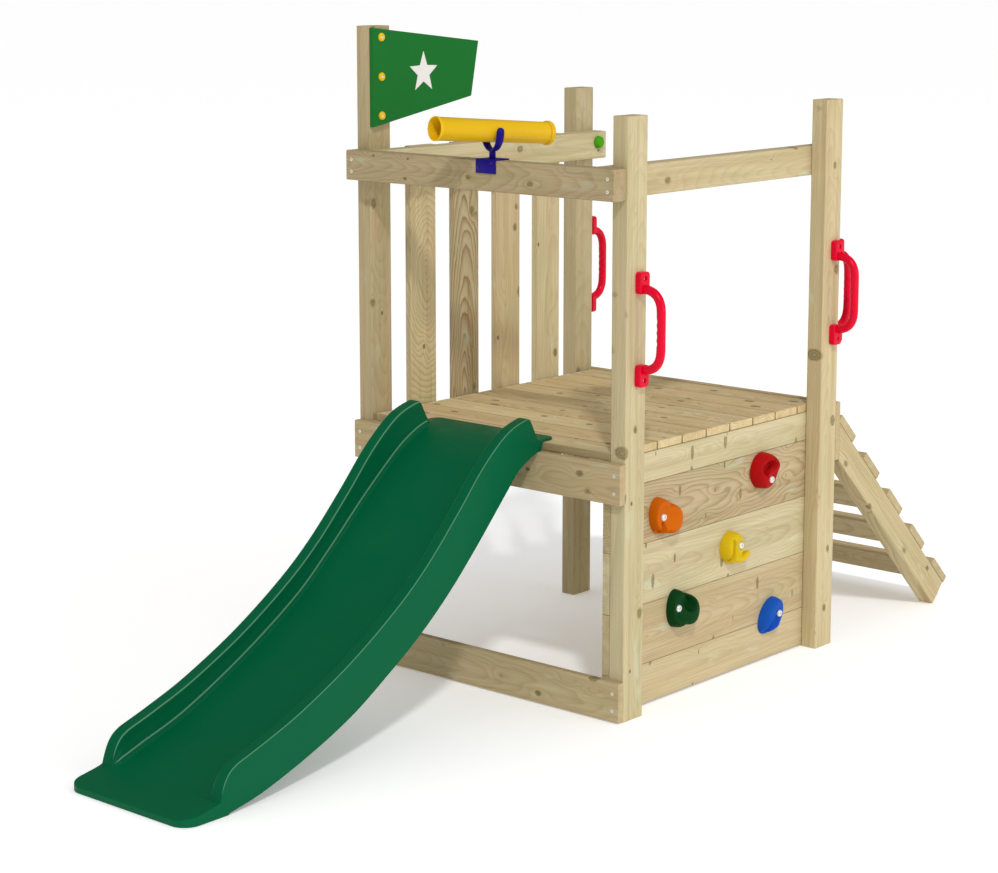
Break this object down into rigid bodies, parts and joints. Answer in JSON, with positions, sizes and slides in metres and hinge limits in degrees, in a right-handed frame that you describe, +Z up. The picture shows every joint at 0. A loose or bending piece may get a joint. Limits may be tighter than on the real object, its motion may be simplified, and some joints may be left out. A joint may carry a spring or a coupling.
{
  "type": "play tower with climbing wall",
  "caption": "Timber play tower with a boarded climbing wall and bolt-on holds, a moulded slide, stepped ladder, grab handles, flag board and a telescope that pans and tilts.",
  "frame": {"origin": "on the ground, at the centre of the whole footprint (bottom centre of the bounding box)", "axes": "+X out of the climbing wall, +Y from the slide towards the ladder (the longest direction), +Z up"},
  "size_m": [0.9074, 2.556, 1.573],
  "materials": {
    "frame_pine": "pressure-treated softwood, planed, pale yellow with a faint green tint, visible grain and knots",
    "deck_pine": "pressure-treated softwood deck boards, planed, with grain and knots",
    "wall_pine": "wide planed softwood boards with broad cathedral grain and knots",
    "slide_plastic": "moulded dark green plastic, satin with a fine grained skin",
    "handle_plastic": "moulded bright red plastic, slightly glossy",
    "hold_red": "moulded resin, fine sandy texture",
    "hold_orange": "moulded resin, fine sandy texture",
    "hold_yellow": "moulded resin, fine sandy texture",
    "hold_green": "moulded resin, fine sandy texture",
    "hold_blue": "moulded resin, fine sandy texture",
    "bolt_steel": "zinc-plated steel",
    "flag_panel": "coated exterior panel, flat green",
    "flag_emblem": "white printed vinyl",
    "telescope_plastic": "moulded yellow plastic",
    "telescope_bracket_plastic": "moulded dark blue plastic",
    "cap_plastic": "moulded bright green bolt cap"
  },
  "bodies": {
    "tower": {"post_front_right": "frame_pine", "post_back_right": "frame_pine", "post_back_left": "frame_pine", "post_front_left": "frame_pine", "top_rail_front": "frame_pine", "top_rail_right": "frame_pine", "top_rail_left": "frame_pine", "rail_bolt": "cap_plastic", "deck_rail_front": "frame_pine", "bottom_rail_front": "frame_pine", "deck_board_back": "frame_pine", "joist_left": "frame_pine", "joist_middle": "frame_pine", "joist_right": "frame_pine", "deck_board_1": "deck_pine", "deck_board_2": "deck_pine", "deck_board_3": "deck_pine", "deck_board_4": "deck_pine", "deck_board_5": "deck_pine", "deck_board_6": "deck_pine", "deck_board_7": "deck_pine", "deck_board_8": "deck_pine", "deck_board_9": "deck_pine", "slat_1": "frame_pine", "slat_2": "frame_pine", "slat_3": "frame_pine", "slat_4": "frame_pine", "wall_board_1": "wall_pine", "wall_board_2": "wall_pine", "wall_board_3": "wall_pine", "wall_board_4": "wall_pine", "wall_board_5": "wall_pine", "hold_red": "hold_red", "hold_bolt_red": "bolt_steel", "hold_orange": "hold_orange", "hold_bolt_orange": "bolt_steel", "hold_yellow": "hold_yellow", "hold_bolt_yellow": "bolt_steel", "hold_green": "hold_green", "hold_bolt_green": "bolt_steel", "hold_blue": "hold_blue", "hold_bolt_blue": "bolt_steel", "slide": "slide_plastic", "handle_front_right": "handle_plastic", "handle_back_right": "handle_plastic", "handle_ladder_right": "handle_plastic", "handle_ladder_left": "handle_plastic", "flag_board": "flag_panel", "flag_emblem": "flag_emblem", "telescope_bracket": "telescope_bracket_plastic", "ladder_stringer_right": "frame_pine", "ladder_stringer_left": "frame_pine", "ladder_tread_1": "frame_pine", "ladder_tread_2": "frame_pine", "ladder_tread_3": "frame_pine", "ladder_tread_4": "frame_pine", "ladder_tread_5": "frame_pine"},
    "telescope_fork": {"telescope_fork": "telescope_bracket_plastic"},
    "telescope_tube": {"telescope_tube": "telescope_plastic", "telescope_eye_ring": "telescope_plastic"}
  },
  "joints": [
    {"name": "telescope_pan", "type": "hinge", "parent": "tower", "child": "telescope_fork", "pos_m": [0.00319, -0.17596, 1.2793], "axis": [0, 0, 1], "continuous": true},
    {"name": "telescope_tilt", "type": "hinge", "parent": "telescope_fork", "child": "telescope_tube", "pos_m": [0.00319, -0.17596, 1.3426], "axis": [-0.9728, 0.2317, 0], "range_deg": [-16, 8]}
  ]
}
